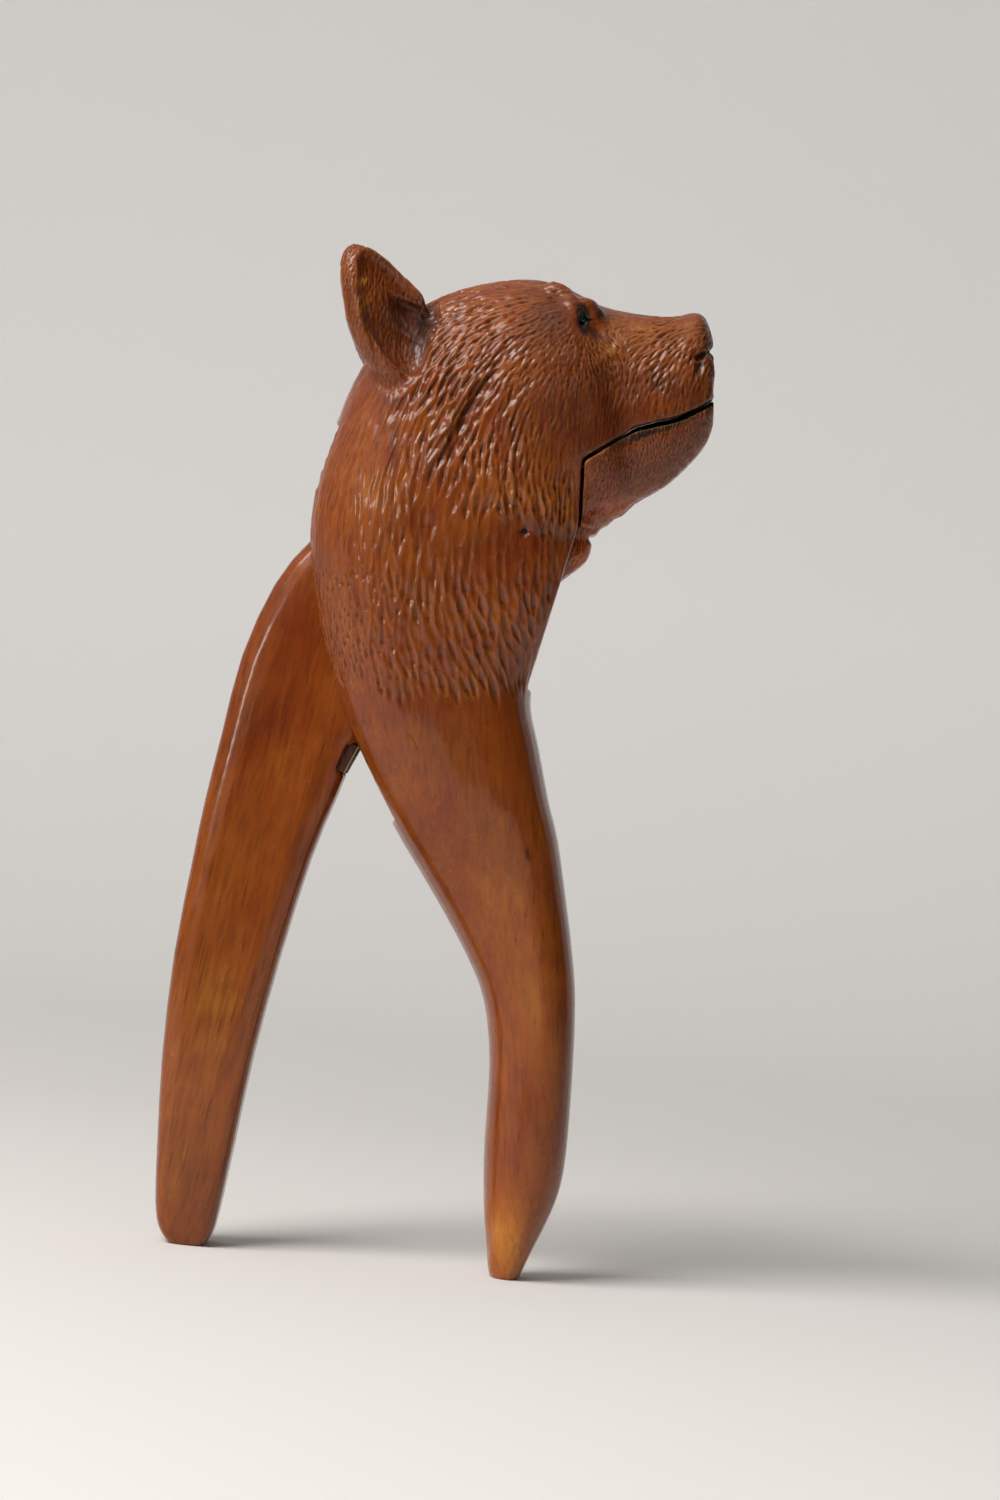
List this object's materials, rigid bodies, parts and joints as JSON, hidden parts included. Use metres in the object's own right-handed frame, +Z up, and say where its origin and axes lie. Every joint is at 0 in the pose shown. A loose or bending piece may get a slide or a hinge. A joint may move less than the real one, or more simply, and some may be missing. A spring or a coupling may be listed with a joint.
{
  "type": "nutcracker",
  "caption": "Carved wooden lever nutcracker in the form of a bear's head on a long neck, whose lower jaw swings down as the rear handle is drawn back.",
  "frame": {"origin": "on the ground under the middle of the tool's length and width, as it stands on its two handle ends", "axes": "+Z up, +X from the nape towards the nose, +Y towards the bear's left side; the tool is symmetric about the XZ plane"},
  "size_m": [0.0932, 0.043, 0.1956],
  "materials": {
    "carved_wood": "red-brown stain under glossy varnish, carved fur",
    "lever_wood": "red-brown to ochre stain under satin varnish, smooth",
    "pin_steel": "dull, darkened ends",
    "insert_wood": "dark, dull",
    "eye_glass": "polished dark glass",
    "eye_wire": "dull wire"
  },
  "bodies": {
    "head": {"head_lever": "carved_wood", "pivot_pin": "pin_steel", "glass_eye_right": "eye_glass", "glass_eye_left": "eye_glass", "eye_wire_right": "eye_wire", "eye_wire_left": "eye_wire"},
    "jaw": {"jaw_lever": "lever_wood", "lever_insert": "insert_wood"}
  },
  "joints": [
    {"name": "jaw_pivot", "type": "hinge", "parent": "head", "child": "jaw", "pos_m": [0.01241, 0, 0.14407], "axis": [0, 1, 0], "range_deg": [0, 30]}
  ]
}
